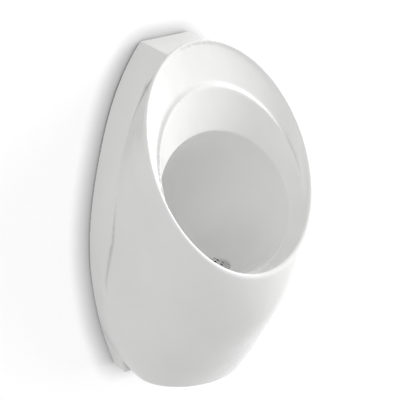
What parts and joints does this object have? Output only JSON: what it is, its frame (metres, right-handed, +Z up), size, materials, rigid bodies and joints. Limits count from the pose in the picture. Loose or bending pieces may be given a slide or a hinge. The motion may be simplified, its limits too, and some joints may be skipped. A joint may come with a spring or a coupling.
{
  "type": "wall hung urinal",
  "caption": "Wall hung oval urinal in white glazed china with a tilted rim, ledge, round bowl, lift-out domed strainer, wall hooks, rear inlet and bottle trap behind its skirt.",
  "frame": {"origin": "on the wall, in the middle of the four screw holes of the two wall hooks", "axes": "+X to the right for someone who faces the urinal, +Y into the wall, +Z up; the china stands out of the wall towards -Y"},
  "size_m": [0.339, 0.3706, 0.6695],
  "materials": {
    "china": "white gloss glaze",
    "strip_rubber": "dark soft seal",
    "seal_rubber": "matt black",
    "hook_steel": "zinc plated",
    "fitting_brass": "plain turned",
    "strainer_chrome": "polished",
    "waste_chrome": "polished",
    "trap_plastic": "white moulded"
  },
  "bodies": {
    "urinal": {"ceramic_body": "china", "wall_strip": "strip_rubber", "hook_left": "hook_steel", "hook_right": "hook_steel", "hook_pads": "seal_rubber", "inlet_spud": "fitting_brass", "inlet_bush": "seal_rubber", "inlet_washer": "fitting_brass", "inlet_locknut": "fitting_brass", "waste_gasket_upper": "seal_rubber", "waste_body": "waste_chrome", "waste_gasket_lower": "seal_rubber", "waste_washer": "waste_chrome", "waste_backnut": "fitting_brass", "waste_union_seal": "seal_rubber", "waste_elbow": "trap_plastic", "trap_head": "trap_plastic", "trap_dip_tube": "trap_plastic", "trap_cup_seal": "seal_rubber", "trap_inlet_seal": "seal_rubber", "outlet_seal": "seal_rubber", "outlet_pipe": "trap_plastic", "wall_collar": "trap_plastic"},
    "strainer": {"strainer_dome": "strainer_chrome"},
    "trap_bottle": {"trap_cup": "trap_plastic"},
    "union_nut": {"waste_union_nut": "trap_plastic"},
    "inlet_side_nut": {"trap_inlet_nut": "trap_plastic"},
    "outlet_side_nut": {"outlet_nut": "trap_plastic"}
  },
  "joints": [
    {"name": "strainer_lift", "type": "slide", "parent": "urinal", "child": "strainer", "axis": [0, 0, 1], "range_m": [0, 0.08]},
    {"name": "trap_cup_drop", "type": "slide", "parent": "urinal", "child": "trap_bottle", "axis": [0, 0, -1], "range_m": [0, 0.13]},
    {"name": "union_nut_turn", "type": "hinge", "parent": "urinal", "child": "union_nut", "pos_m": [0, -0.16496, -0.313], "axis": [0, 0, 1], "continuous": true},
    {"name": "trap_inlet_nut_turn", "type": "hinge", "parent": "urinal", "child": "inlet_side_nut", "pos_m": [0, -0.122, -0.3524], "axis": [0, 1, 0], "continuous": true},
    {"name": "outlet_nut_turn", "type": "hinge", "parent": "urinal", "child": "outlet_side_nut", "pos_m": [0, -0.037, -0.3524], "axis": [0, 1, 0], "continuous": true}
  ]
}
